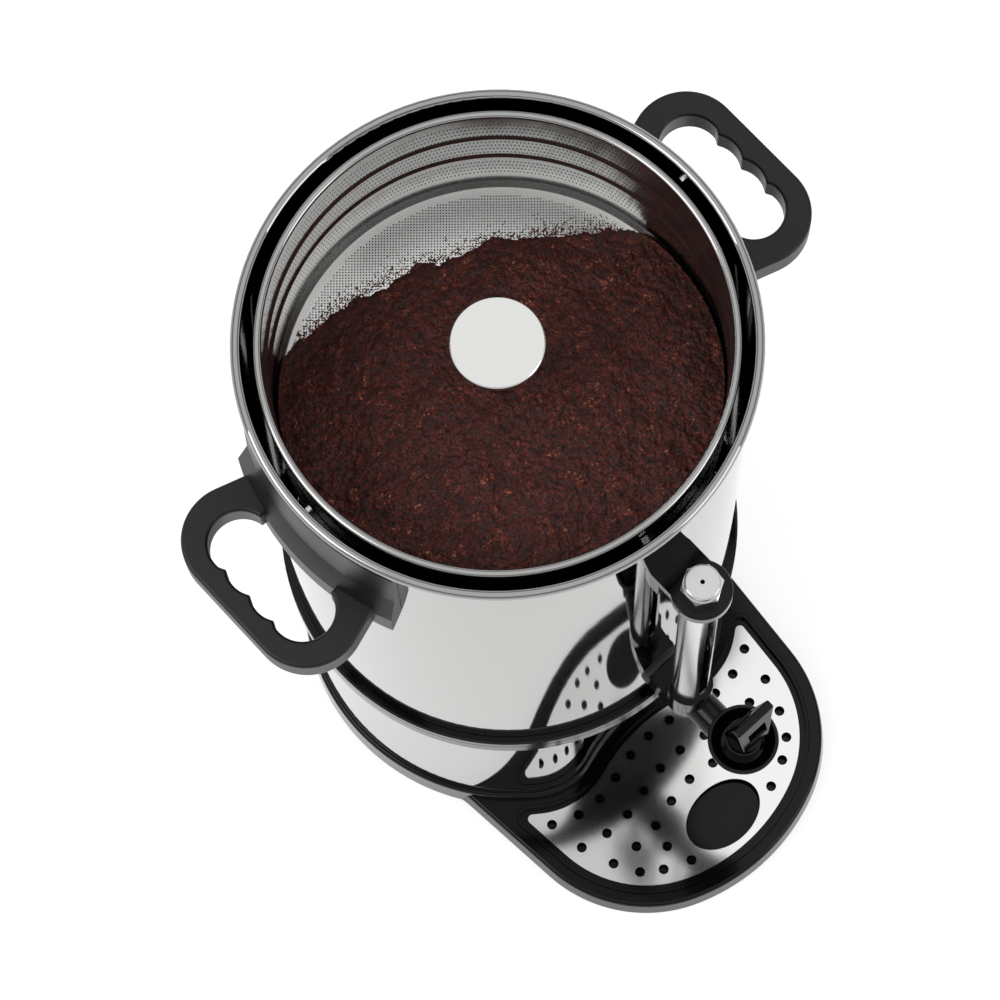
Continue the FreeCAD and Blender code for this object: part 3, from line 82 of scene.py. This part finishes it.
def seenDirectly(tree):
    # 1 for what the camera, a mirror or glass shows, 0 for the light that falls on things
    path = addNode(tree, "LightPath")
    seen = addNode(tree, "Math", {0: path.outputs["Is Camera Ray"], 1: path.outputs["Is Glossy Ray"]},
                   operation="MAXIMUM")
    return addNode(tree, "Math", {0: seen.outputs[0], 1: path.outputs["Is Transmission Ray"]},
                   operation="MAXIMUM")


def levelReach(tree, vector):
    # how far a point lies from the axis, whatever its height
    level = addNode(tree, "VectorMath", {0: vector, 1: (1.0, 1.0, 0.0)}, operation="MULTIPLY")
    return addNode(tree, "VectorMath", {0: level.outputs[0]}, operation="LENGTH")


# Camera, where the photograph was taken from

camera = {
    "place": (-0.38182, -0.47167, 2.46140),
    "right": (0.73581, -0.67691, -0.01938),
    "up": (0.65683, 0.70643, 0.26369),
    "back": (-0.16480, -0.20675, 0.96441),
    "lens": 140.12,
    "sensor": 36.0,
    "farthest": 30.0,
}
cameraData = bpy.data.cameras.new("photoCamera")
cameraData.lens = camera["lens"]
cameraData.sensor_width = camera["sensor"]
cameraData.clip_end = camera["farthest"]
photoCamera = bpy.data.objects.new("photoCamera", cameraData)
scene.collection.objects.link(photoCamera)
turn = Matrix((camera["right"], camera["up"], camera["back"])).transposed()
photoCamera.matrix_world = Matrix.Translation(camera["place"]) @ turn.to_4x4()
scene.camera = photoCamera

# Studio: white sweep, pale room and two soft lamps

studio = {
    "roomLight": 0.66,
    # height on the sky and how bright it shows: white at its foot and overhead, dim between
    "roomBands": [(0.0, 1.0), (0.22, 1.0), (0.36, 0.3), (0.62, 0.3), (0.8, 1.0), (1.0, 1.0)],
    "floorSize": 12.0,
    "floorColour": "#c4c4c3",
    "floorRoughness": 0.9,
    "floorSeen": 0.66,
    "lamps": [
        # name, place, aim, width, height, watts
        ("keyLamp", (-1.5, 0.6, 2.1), (0.0, 0.0, 0.45), 1.3, 1.3, 17.0),
        ("frontLamp", (0.9, -1.9, 1.5), (0.0, 0.0, 0.3), 1.0, 1.4, 9.0),
    ],
}
scene.view_settings.view_transform = "Standard"

room = bpy.data.worlds.new("room")
room.use_nodes = True
roomTree = room.node_tree
roomTree.nodes.clear()
direction = addNode(roomTree, "TexCoord")
skyHeight = addNode(roomTree, "SeparateXYZ", {0: direction.outputs["Generated"]})
skyBands = addNode(roomTree, "ValToRGB", {"Fac": skyHeight.outputs[2]})
for stop, level in studio["roomBands"]:
    skyBands.color_ramp.elements.new(stop).color = (level, level, level, 1.0)
strength = addNode(roomTree, "MapRange", {"Value": seenDirectly(roomTree).outputs[0],
                                          "To Min": studio["roomLight"], "To Max": skyBands.outputs[0]})
sky = addNode(roomTree, "Background", {"Color": colour("#ffffff"), "Strength": strength.outputs[0]})
addNode(roomTree, "OutputWorld", {"Surface": sky.outputs[0]})
scene.world = room

for lampName, place, aim, width, height, watts in studio["lamps"]:
    lampData = bpy.data.lights.new(lampName, "AREA")
    lampData.shape = "RECTANGLE"
    lampData.size = width
    lampData.size_y = height
    lampData.energy = watts
    lamp = bpy.data.objects.new(lampName, lampData)
    scene.collection.objects.link(lamp)
    lamp.location = place
    lamp.rotation_euler = (Vector(aim) - Vector(place)).to_track_quat("-Z", "Y").to_euler()

bpy.ops.object.select_all(action="DESELECT")
bpy.ops.mesh.primitive_plane_add(size=studio["floorSize"])
floor = bpy.context.object
floor.name = "studioFloor"
floorMaterial, tree = newMaterial("painted sweep")
glow = addNode(tree, "Math", {0: seenDirectly(tree).outputs[0], 1: studio["floorSeen"]},
               operation="MULTIPLY")
finishMaterial(tree, {"Base Color": colour(studio["floorColour"]), "Roughness": studio["floorRoughness"],
                      "Specular IOR Level": 0.0, "Emission Color": colour("#ffffff"),
                      "Emission Strength": glow.outputs[0]})
floor.data.materials.append(floorMaterial)
print("camera, lamps and floor placed")


# Materials

def cellDots(tree, cellVector, dotRadius):
    # 1 inside a round dot in the middle of each cell of a grid, 0 outside it
    part = addNode(tree, "VectorMath", {0: cellVector}, operation="FRACTION")
    centred = addNode(tree, "VectorMath", {0: part.outputs[0], 1: (0.5, 0.5, 0.0)}, operation="SUBTRACT")
    reach = levelReach(tree, centred.outputs[0])
    inner, outer = filterHoles["softEdge"]
    return addNode(tree, "MapRange", {"Value": reach.outputs["Value"], "From Min": dotRadius * inner,
                                      "From Max": dotRadius * outer, "To Min": 1.0, "To Max": 0.0})


def floorHoles(tree, place):
    # square grid of round holes, turned as it lies in the basket, in whole cells up to the rim's ring
    pitch = filterHoles["floorPitch"]
    grid = addNode(tree, "Mapping", {"Vector": place, "Scale": (perMetre(pitch),) * 3,
                                     "Rotation": (0.0, 0.0, math.radians(filterHoles["floorTurn"]))})
    dots = cellDots(tree, grid.outputs[0], filterHoles["floorHole"] / pitch / 2)
    cell = addNode(tree, "VectorMath", {0: grid.outputs[0]}, operation="FLOOR")
    middle = addNode(tree, "VectorMath", {0: cell.outputs[0], 1: (0.5, 0.5, 0.0)}, operation="ADD")
    reach = levelReach(tree, middle.outputs[0])
    inside = addNode(tree, "Math", {0: reach.outputs["Value"], 1: filterHoles["floorReach"] / pitch},
                     operation="LESS_THAN")
    return addNode(tree, "Math", {0: dots.outputs[0], 1: inside.outputs[0]}, operation="MULTIPLY")


def wallHoles(tree, place):
    # rows of holes round the wall, every second row half a pitch on, in bands between the beads
    axes = addNode(tree, "SeparateXYZ", {0: place})
    angle = addNode(tree, "Math", {0: axes.outputs[1], 1: axes.outputs[0]}, operation="ARCTAN2")
    column = addNode(tree, "Math", {0: angle.outputs[0], 1: filterHoles["wallColumns"] / (2 * math.pi)},
                     operation="MULTIPLY")
    row = addNode(tree, "Math", {0: axes.outputs[2], 1: perMetre(filterHoles["wallRows"])},
                  operation="MULTIPLY")
    rowNumber = addNode(tree, "Math", {0: row.outputs[0]}, operation="FLOOR")
    half = addNode(tree, "Math", {0: rowNumber.outputs[0], 1: 0.5}, operation="MULTIPLY")
    shifted = addNode(tree, "Math", {0: column.outputs[0], 1: half.outputs[0]}, operation="ADD")
    cell = addNode(tree, "CombineXYZ", {0: shifted.outputs[0], 1: row.outputs[0]})
    dots = cellDots(tree, cell.outputs[0], filterHoles["wallHole"])
    inBands = 0.0
    for middle, halfHeight in filterHoles["wallBands"]:
        band = addNode(tree, "Math", {0: axes.outputs[2], 1: middle, 2: halfHeight}, operation="COMPARE")
        inBands = addNode(tree, "Math", {0: inBands, 1: band.outputs[0]}, operation="ADD").outputs[0]
    return addNode(tree, "Math", {0: dots.outputs[0], 1: inBands}, operation="MULTIPLY")


filterHoles = {
    "floorPitch": 1.6,  # mm, like the hole's width and the reach from the axis
    "floorHole": 0.86,
    "floorReach": 113.4,
    "floorTurn": 42.6,  # degrees
    "wallColumns": 366.0,
    "wallRows": 5.0,  # mm, coarser than the real rows, which are too fine to show
    "wallHole": 0.25,  # radius, as a share of a cell
    "wallBands": [(0.5412, 0.0098), (0.5155, 0.0092), (0.4850, 0.0116)],  # middle and half height, m
    "softEdge": (0.85, 1.15),  # where a dot starts and stops fading, as shares of its radius
    # near black painted into each hole: painted shade for the dark inside seen through it
    "paintedHoleShade": "#040404",
}

# patches that are duller and brighter: how wide in mm, and how much they change the roughness
sheetPatches = {"width": 60, "least": 0.8, "most": 1.25}
mouldedPatches = {"width": 35, "least": 0.85, "most": 1.2}


def steel(name, tint, roughness, grainAcross, grainAlong, grainDepth, run="Z", holes=None):
    # rolled, polished or spun metal: fine scratches run one way and smear what it reflects
    material, tree = newMaterial(name)
    place = addNode(tree, "TexCoord")
    across, along = perMetre(grainAcross), perMetre(grainAlong)
    if run == "round":
        reach = levelReach(tree, place.outputs["Object"])
        rise = addNode(tree, "SeparateXYZ", {0: place.outputs["Object"]})
        lathe = addNode(tree, "CombineXYZ", {0: reach.outputs["Value"], 2: rise.outputs[2]})
        mapped = addNode(tree, "Mapping", {"Vector": lathe.outputs[0], "Scale": (across, across, along)})
    else:
        stretch = {"Z": (along, along, across), "XY": (across, across, along)}[run]
        mapped = addNode(tree, "Mapping", {"Vector": place.outputs["Object"], "Scale": stretch})
    grain = addNode(tree, "TexNoise", {"Vector": mapped.outputs[0], "Scale": 1.0, "Detail": 3.0,
                                       "Roughness": 0.6})
    cloud = addNode(tree, "TexNoise", {"Vector": place.outputs["Object"],
                                       "Scale": perMetre(sheetPatches["width"]), "Detail": 2.0})
    rough = addNode(tree, "MapRange", {"Value": cloud.outputs["Fac"],
                                       "To Min": roughness * sheetPatches["least"],
                                       "To Max": roughness * sheetPatches["most"]})
    bump = addNode(tree, "Bump", {"Height": grain.outputs["Fac"], "Strength": 1.0,
                                  "Distance": grainDepth / 1000})
    inputs = {"Base Color": colour(tint), "Metallic": 1.0, "Roughness": rough.outputs[0],
              "Normal": bump.outputs[0]}
    # in the holes the steel gives way to a dull near black surface, painted shade for the dark seen through
    # them
    if holes:
        hole = holes(tree, place.outputs["Object"])
        tone = addNode(tree, "Mix", {"Factor": hole.outputs[0], "A": colour(tint),
                                     "B": colour(filterHoles["paintedHoleShade"])}, data_type="RGBA")
        sheet = addNode(tree, "Math", {0: 1.0, 1: hole.outputs[0]}, operation="SUBTRACT")
        inputs.update({"Base Color": tone.outputs["Result"], "Metallic": sheet.outputs[0]})
    finishMaterial(tree, inputs)
    return material


def plastic(name, tint, paleTint, roughness, grain, grainDepth, shine=0.5):
    # moulded plastic: the tool's surface gives the gloss, the grain breaks up its edge
    material, tree = newMaterial(name)
    place = addNode(tree, "TexCoord")
    speck = addNode(tree, "TexNoise", {"Vector": place.outputs["Object"], "Scale": perMetre(grain),
                                       "Detail": 2.0})
    cloud = addNode(tree, "TexNoise", {"Vector": place.outputs["Object"],
                                       "Scale": perMetre(mouldedPatches["width"]), "Detail": 3.0})
    tone = addNode(tree, "Mix", {"Factor": cloud.outputs["Fac"], "A": colour(tint), "B": colour(paleTint)},
                   data_type="RGBA")
    rough = addNode(tree, "MapRange", {"Value": cloud.outputs["Fac"],
                                       "To Min": roughness * mouldedPatches["least"],
                                       "To Max": roughness * mouldedPatches["most"]})
    bump = addNode(tree, "Bump", {"Height": speck.outputs["Fac"], "Strength": 1.0,
                                  "Distance": grainDepth / 1000})
    finishMaterial(tree, {"Base Color": tone.outputs["Result"], "Roughness": rough.outputs[0],
                          "IOR": 1.5, "Specular IOR Level": shine, "Normal": bump.outputs[0]})
    return material


# metals: tint, roughness, then the grain's width across, length along and depth in mm
# plastics: two tints, roughness, then the grain's width and depth in mm, and how much it shines
finishes = {
    # clear reflections that bend a little where the sheet isn't quite true
    "polished_steel": steel("stainless sheet, mirror polished", "#a2a2a1", 0.035, 26, 60, 0.012),
    # white under the sky, with soft outlines of what stands over it
    "mirror_steel": steel("stainless plate, bright rolled", "#f2f2f1", 0.1, 34, 34, 0.02),
    # rings from the lathe, too fine to count, which spread the light into a sheen
    "spun_steel": steel("stainless sheet, spun", "#e2e2e0", 0.2, 0.55, 2, 0.006, run="round"),
    # soft streaks up and down
    "filter_steel": steel("stainless sheet, satin", "#cfcfcd", 0.2, 0.7, 14, 0.003, run="XY"),
    # dull, with a faint rolling grain
    "plain_steel": steel("stainless sheet, mill finish", "#b9b9b7", 0.34, 0.8, 12, 0.004),
    # small bright heads
    "fastener_steel": steel("plated screw steel", "#c9c9c6", 0.22, 0.5, 2, 0.002),
    # bright and cool, without a grain
    "chromed": steel("chromed brass, satin", "#cfd0d0", 0.14, 20, 20, 0.004),
    # grey and grainy, from the sand
    "cast_aluminium": steel("cast aluminium", "#a9abad", 0.5, 0.9, 0.9, 0.03),
    # warm yellow against the dark inlet
    "pin_brass": steel("plated brass", "#cdb26a", 0.24, 0.5, 2, 0.002),
    # near black, with sharp glints
    "black_gloss": plastic("ABS, high gloss", "#050505", "#090909", 0.1, 3.0, 0.002, 0.22),
    # dark grey, with wide soft glints from the fibres under the skin
    "black_matt": plastic("glass-filled nylon, satin", "#111111", "#191919", 0.4, 0.5, 0.012, 0.35),
    # dull black, which shows next to no glint
    "foot_rubber": plastic("moulded rubber", "#101010", "#1a1a19", 0.7, 0.8, 0.02),
    # grey and slightly greasy
    "seal_rubber": plastic("silicone seal", "#2a2a2a", "#383838", 0.55, 1.2, 0.01),
    # milky and slightly warm
    "white_plastic": plastic("natural polypropylene", "#d9d6cb", "#e6e3da", 0.42, 1.5, 0.01),
}

# the basket's own sheets, which are punched: a satin sheen broken up by rows of holes painted near black, as
# painted shade for the dark inside seen through them
sheetFinishes = {
    # the wall's tint is darker than the floor's, though both are one satin sheet: painted shade on the wall
    "basket_wall": steel("stainless sheet, satin, punched wall", "#a9a9a8", 0.15, 0.9, 40, 0.004, run="XY",
                         holes=wallHoles),
    # the floor's tint is paler than the wall's: painted light on the floor
    "basket_bottom": steel("stainless sheet, satin, punched floor", "#ececea", 0.24, 1.4, 1.4, 0.003,
                           holes=floorHoles),
}

# clear, with the faintest haze on the drawn skin
glass, tree = newMaterial("borosilicate tube")
place = addNode(tree, "TexCoord")
haze = addNode(tree, "TexNoise", {"Vector": place.outputs["Object"], "Scale": perMetre(8), "Detail": 2.0})
rough = addNode(tree, "MapRange", {"Value": haze.outputs["Fac"], "To Min": 0.01, "To Max": 0.05})
finishMaterial(tree, {"Base Color": colour("#f2f7f6"), "Roughness": rough.outputs[0], "IOR": 1.47,
                      "Transmission Weight": 1.0})
finishes["gauge_glass"] = glass

# deep red, a little paler in small patches
lens, tree = newMaterial("polycarbonate lens, tinted")
place = addNode(tree, "TexCoord")
spots = addNode(tree, "TexNoise", {"Vector": place.outputs["Object"], "Scale": perMetre(1.5), "Detail": 1.0})
tone = addNode(tree, "Mix", {"Factor": spots.outputs["Fac"], "A": colour("#8c1408"), "B": colour("#c4371c")},
               data_type="RGBA")
finishMaterial(tree, {"Base Color": tone.outputs["Result"], "Roughness": 0.12, "IOR": 1.58,
                      "Transmission Weight": 0.3})
finishes["lamp_lens"] = lens

# red-brown grains among near black ones, in darker and lighter drifts
coffeeLook = {
    "grain": 0.8,  # mm, coarser than the real grains, so that they show
    "drift": 7,  # mm
    "driftShade": 0.55,
    "darkest": (0.05, "#120503"),
    "between": [(0.3, "#340f08"), (0.6, "#561a0e"), (0.82, "#7c2c18")],
    "palest": (0.98, "#c9825c"),
    "bump": 0.9,
    "bumpDepth": 0.0005,
    "roughness": 0.6,
}
coffee, tree = newMaterial("ground coffee, dark roast")
place = addNode(tree, "TexCoord")
grit = addNode(tree, "TexVoronoi", {"Vector": place.outputs["Object"],
                                    "Scale": perMetre(coffeeLook["grain"])})
gritShade = addNode(tree, "SeparateColor", {0: grit.outputs["Color"]})
drift = addNode(tree, "TexNoise", {"Vector": place.outputs["Object"], "Scale": perMetre(coffeeLook["drift"]),
                                   "Detail": 5.0})
driftShade = addNode(tree, "MapRange", {"Value": drift.outputs["Fac"], "From Min": 0.3, "From Max": 0.7,
                                        "To Min": coffeeLook["driftShade"], "To Max": 1.0})
mixed = addNode(tree, "Math", {0: gritShade.outputs[0], 1: driftShade.outputs[0]}, operation="MULTIPLY")
tones = addNode(tree, "ValToRGB", {"Fac": mixed.outputs[0]})
stops = tones.color_ramp.elements
for stop, (position, tint) in zip(list(stops), (coffeeLook["darkest"], coffeeLook["palest"])):
    stop.position = position
    stop.color = colour(tint)
for position, tint in coffeeLook["between"]:
    stops.new(position).color = colour(tint)
bump = addNode(tree, "Bump", {"Height": grit.outputs["Distance"], "Strength": coffeeLook["bump"],
                              "Distance": coffeeLook["bumpDepth"]})
finishMaterial(tree, {"Base Color": tones.outputs[0], "Roughness": coffeeLook["roughness"],
                      "Normal": bump.outputs[0]})
finishes["coffee"] = coffee

for node in nodes.values():
    for slot in node.material_slots:
        slotName = slot.material.name.split(".")[0]
        if node.name in sheetFinishes:
            slot.material = sheetFinishes[node.name]
        elif slotName in finishes:
            slot.material = finishes[slotName]
        else:
            print("no finish for", node.name, slotName)
print("materials made:", len(finishes))


# Shaping helpers

def pickOnly(thing):
    bpy.ops.object.select_all(action="DESELECT")
    thing.select_set(True)
    bpy.context.view_layer.objects.active = thing


def editStart(thing):
    pickOnly(thing)
    bpy.ops.object.mode_set(mode="EDIT")
    bpy.ops.mesh.select_mode(type="FACE")
    bpy.ops.mesh.select_all(action="DESELECT")
    bpy.ops.object.mode_set(mode="OBJECT")


def pickFaces(thing, wanted):
    for face in thing.data.polygons:
        face.select = wanted(face)


def editDo(thing, *steps):
    bpy.ops.object.mode_set(mode="EDIT")
    for step, options in steps:
        getattr(bpy.ops.mesh, step)(**options)
    bpy.ops.object.mode_set(mode="OBJECT")


def placeInMesh(thing):
    pickOnly(thing)
    bpy.ops.object.transform_apply(location=True, rotation=True, scale=True)


def dress(thing, finish, body, slotName, *replaced):
    thing.data.materials.clear()
    thing.data.materials.append(finishes[finish])
    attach(thing, body)
    if replaced:
        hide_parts(*replaced)


# Heap of ground coffee, leaning against the front of the basket

heap = {
    "bottom": 0.4612,
    "outer": 0.1196,
    "edgeRadius": 0.2436,
    "height": 0.054,
    "edgeReach": 0.0833,
    "direction": 66.2,  # degrees, the rest is in metres
    "pitch": 0.00072,
    "hole": 0.0093,
    "edgeStep": 0.0012,
    "edgeStepWidth": 0.003,
    "lumpsFadeIn": 0.012,
    "lumps": [(0.030, 0.0034), (0.011, 0.0022), (0.0042, 0.0015), (0.0017, 0.0009)],  # width, depth
    "edgeWander": [(0.030, 0.005), (0.008, 0.0028), (0.002, 0.0012)],
    "layerShift": 977.0,  # a far part of the noise for each width, so that they don't line up
}
heapBall = (heap["edgeRadius"] ** 2 + heap["height"] ** 2) / (2 * heap["height"])
heapTurn = math.radians(heap["direction"])
heapCentre = Vector((math.cos(heapTurn), math.sin(heapTurn))) * (heap["edgeReach"] - heap["edgeRadius"])


def lumpiness(x, y, waves):
    return sum(depth * noise.noise(Vector((x / width, y / width, width * heap["layerShift"])))
               for width, depth in waves)


def heapEdge(x, y):
    # how far a point lies inside the heap's edge on the basket's bottom
    return heap["edgeRadius"] - (Vector((x, y)) - heapCentre).length + lumpiness(x, y, heap["edgeWander"])


def heapTop(x, y):
    reach = (Vector((x, y)) - heapCentre).length
    rise = math.sqrt(max(heapBall ** 2 - reach ** 2, 0.0)) - heapBall + heap["height"]
    inside = max(heapEdge(x, y), 0.0)
    lumps = lumpiness(x, y, heap["lumps"]) * min(1.0, inside / heap["lumpsFadeIn"])
    step = heap["edgeStep"] * min(1.0, inside / heap["edgeStepWidth"])
    return heap["bottom"] + max(rise, 0.0) + lumps + step


gridCells = int(2 * heap["outer"] / heap["pitch"])
bpy.ops.object.select_all(action="DESELECT")
bpy.ops.mesh.primitive_grid_add(x_subdivisions=gridCells, y_subdivisions=gridCells, size=2 * heap["outer"],
                                location=(0, 0, heap["bottom"]))
groundCoffee = bpy.context.object
groundCoffee.name = "groundCoffee"
placeInMesh(groundCoffee)
editStart(groundCoffee)
pickFaces(groundCoffee, lambda face: face.center.xy.length > heap["outer"] - heap["pitch"]
          or heapEdge(face.center.x, face.center.y) < 0 or face.center.xy.length < heap["hole"])
editDo(groundCoffee, ("delete", {"type": "FACE"}))
for vertex in groundCoffee.data.vertices:
    vertex.co.z = heapTop(vertex.co.x, vertex.co.y)
editDo(groundCoffee, ("select_mode", {"type": "EDGE"}), ("select_all", {"action": "SELECT"}),
       ("region_to_loop", {}), ("extrude_edges_move", {}))
for vertex in groundCoffee.data.vertices:
    if vertex.select:
        vertex.co.z = heap["bottom"]
editDo(groundCoffee, ("edge_face_add", {}), ("select_all", {"action": "SELECT"}),
       ("normals_make_consistent", {"inside": False}))
dress(groundCoffee, "coffee", "basket", "coffee", "coffee_grounds")
print("coffee heaped:", len(groundCoffee.data.polygons), "faces")

# Loose grains along the heap's edge, one small lump modelled once and copied

loose = {
    "seed": 5,
    "count": 1400,
    "size": (0.0003, 0.00062),
    "width": (0.5, 0.9),  # share of its length, like the thickness
    "thickness": (0.4, 0.8),
    "sunk": 0.35,  # share of its size that its middle lies above the bottom
    "spread": 0.009 / 2.2,
    "overlap": 0.001,  # how far inside the heap's edge they may lie
    "wallGap": 0.004,
    "first": (0.02, 0.0975),
}
random.seed(loose["seed"])
bpy.ops.object.select_all(action="DESELECT")
bpy.ops.mesh.primitive_ico_sphere_add(subdivisions=1, radius=1.0)
looseGrains = bpy.context.object
looseGrains.name = "looseGrains"
lump = looseGrains.data.copy()
grains = []
while len(grains) < loose["count"]:
    turn = random.uniform(0, 2 * math.pi)
    out = heap["edgeRadius"] + abs(random.gauss(0, loose["spread"])) - loose["overlap"]
    x, y = heapCentre.x + out * math.cos(turn), heapCentre.y + out * math.sin(turn)
    if math.hypot(x, y) > heap["outer"] - loose["wallGap"] or heapEdge(x, y) > loose["overlap"]:
        continue
    size = random.uniform(*loose["size"])
    grain = bpy.data.objects.new("grain", lump.copy())
    scene.collection.objects.link(grain)
    stretch = Matrix.Diagonal((size, size * random.uniform(*loose["width"]),
                               size * random.uniform(*loose["thickness"]), 1.0))
    spin = Matrix.Rotation(random.uniform(0, 2 * math.pi), 4, "Z")
    above = heap["bottom"] + size * loose["sunk"]
    grain.matrix_world = Matrix.Translation((x, y, above)) @ spin @ stretch
    grains.append(grain)
bpy.ops.object.select_all(action="DESELECT")
looseGrains.scale = (loose["size"][0],) * 3
looseGrains.location = (*loose["first"], heap["bottom"])
for grain in [*grains, looseGrains]:
    grain.select_set(True)
bpy.context.view_layer.objects.active = looseGrains
bpy.ops.object.join()
placeInMesh(looseGrains)
dress(looseGrains, "coffee", "basket", "coffee")
print("loose grains strewn:", len(grains))

scene.view_layers[0].update()
